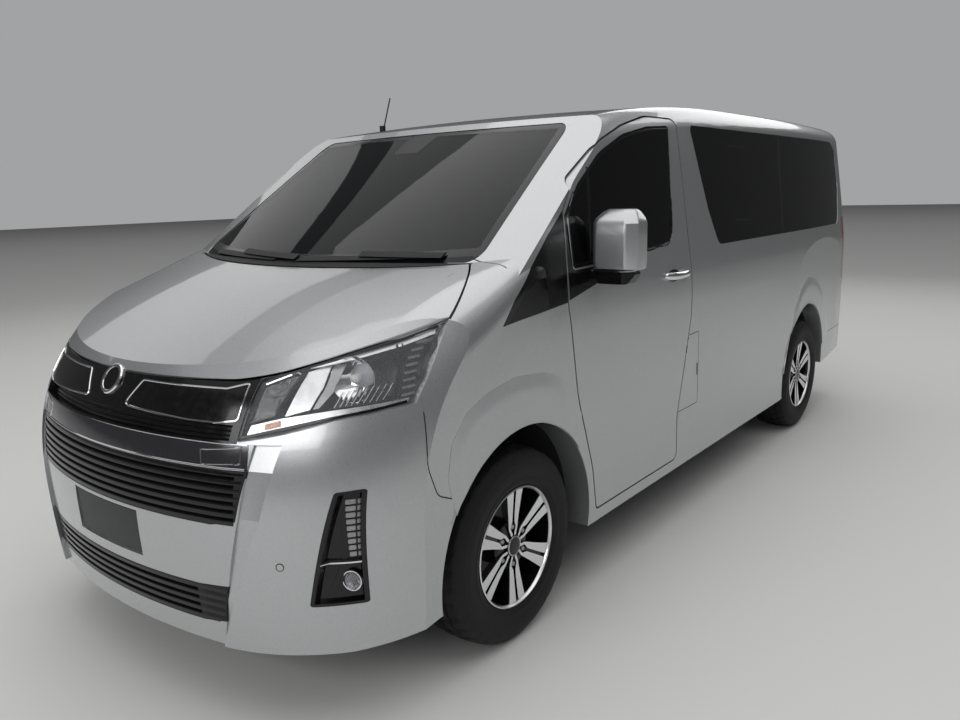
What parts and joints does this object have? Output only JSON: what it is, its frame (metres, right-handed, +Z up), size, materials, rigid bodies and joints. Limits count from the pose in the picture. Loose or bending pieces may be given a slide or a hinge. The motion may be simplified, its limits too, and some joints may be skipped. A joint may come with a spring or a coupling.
{
  "type": "passenger van",
  "caption": "Passenger van with a short bonnet, a glazed cabin, hinged front doors, bonnet and tailgate, steered front wheels and a live rear axle.",
  "frame": {"origin": "on the ground, under the middle of the vehicle's length and width", "axes": "front of the vehicle faces -Y, +X is the driver's side (the vehicle's left), +Z is up"},
  "size_m": [2.3096, 5.2634, 2.1051],
  "materials": {
    "silver_paint": "bright silver metallic, gloss",
    "black_body": "black underbody coating",
    "tinted_glass": "dark tint",
    "clear_lens": "clear lamp lens",
    "red_lens": "red lamp lens",
    "gloss_black": "gloss black",
    "black_plastic": "grained black",
    "chrome_trim": "bright chrome",
    "dark_chrome": "dark chrome",
    "tyre": "black rubber",
    "rubber": "black rubber",
    "alloy": "machined and lacquered",
    "steel": "bare steel",
    "cast": "painted cast iron",
    "seat_cloth": "dark woven cloth"
  },
  "bodies": {
    "body": {"antenna": "black_plastic", "cowl": "black_plastic", "dashboard": "black_plastic", "engine_block": "cast", "exhaust": "steel", "fender_left": "silver_paint", "fender_right": "silver_paint", "floor_pan": "black_body", "fog_lamps": "gloss_black", "front_bumper": "silver_paint", "front_seats": "seat_cloth", "front_subframe": "black_body", "fuel_tank": "black_plastic", "garnishes": "gloss_black", "grille": "black_plastic", "grille_bar": "dark_chrome", "headlamp_bodies": "gloss_black", "headlamp_lenses": "clear_lens", "lower_grille": "black_plastic", "rear_axle": "cast", "rear_bumper": "silver_paint", "rear_seats": "seat_cloth", "roof_panel": "silver_paint", "side_glass": "tinted_glass", "side_panel_left": "silver_paint", "side_panel_right": "silver_paint", "sliding_door": "silver_paint", "stops": "rubber", "tail_lamps": "red_lens", "upper_grille": "gloss_black", "windscreen": "tinted_glass", "wipers": "black_plastic"},
    "door_left": {"door_glass_left": "tinted_glass", "door_left": "silver_paint", "handle_left": "chrome_trim", "mirror_base_left": "gloss_black", "mirror_left": "silver_paint"},
    "door_right": {"door_glass_right": "tinted_glass", "door_right": "silver_paint", "handle_right": "chrome_trim", "mirror_base_right": "gloss_black", "mirror_right": "silver_paint"},
    "bonnet": {"bonnet": "silver_paint"},
    "tailgate": {"tailgate": "silver_paint", "tailgate_glass": "tinted_glass"},
    "knuckle_left": {"knuckle_left": "cast"},
    "knuckle_right": {"knuckle_right": "cast"},
    "wheel_front_left": {"tyre_front_left": "tyre", "rim_front_left": "alloy"},
    "wheel_front_right": {"tyre_front_right": "tyre", "rim_front_right": "alloy"},
    "wheel_rear_left": {"tyre_rear_left": "tyre", "rim_rear_left": "alloy"},
    "wheel_rear_right": {"tyre_rear_right": "tyre", "rim_rear_right": "alloy"}
  },
  "joints": [
    {"name": "door_left_hinge", "type": "hinge", "parent": "body", "child": "door_left", "pos_m": [0.972, -1.265, 0.76], "axis": [0.0436, 0, -0.999], "range_deg": [0, 68]},
    {"name": "door_right_hinge", "type": "hinge", "parent": "body", "child": "door_right", "pos_m": [-0.972, -1.265, 0.76], "axis": [0.0436, 0, 0.999], "range_deg": [0, 68]},
    {"name": "bonnet_hinge", "type": "hinge", "parent": "body", "child": "bonnet", "pos_m": [0, -1.66, 1.355], "axis": [-1, 0, 0], "range_deg": [0, 50]},
    {"name": "tailgate_hinge", "type": "hinge", "parent": "body", "child": "tailgate", "pos_m": [0, 2.542, 1.922], "axis": [1, 0, 0], "range_deg": [0, 84]},
    {"name": "steering_left", "type": "hinge", "parent": "body", "child": "knuckle_left", "pos_m": [0.745, -1.6475, 0.357], "axis": [0, 0, 1], "range_deg": [-35, 35]},
    {"name": "steering_right", "type": "hinge", "parent": "body", "child": "knuckle_right", "pos_m": [-0.745, -1.6475, 0.357], "axis": [0, 0, 1], "range_deg": [-35, 35]},
    {"name": "wheel_front_left_spin", "type": "hinge", "parent": "knuckle_left", "child": "wheel_front_left", "pos_m": [0.8375, -1.6475, 0.357], "axis": [1, 0, 0], "continuous": true},
    {"name": "wheel_front_right_spin", "type": "hinge", "parent": "knuckle_right", "child": "wheel_front_right", "pos_m": [-0.8375, -1.6475, 0.357], "axis": [1, 0, 0], "continuous": true},
    {"name": "wheel_rear_left_spin", "type": "hinge", "parent": "body", "child": "wheel_rear_left", "pos_m": [0.8375, 1.5625, 0.357], "axis": [1, 0, 0], "continuous": true},
    {"name": "wheel_rear_right_spin", "type": "hinge", "parent": "body", "child": "wheel_rear_right", "pos_m": [-0.8375, 1.5625, 0.357], "axis": [1, 0, 0], "continuous": true}
  ],
  "couplings": [
    {"joint": "steering_right", "follows": "steering_left", "ratio": 1}
  ]
}
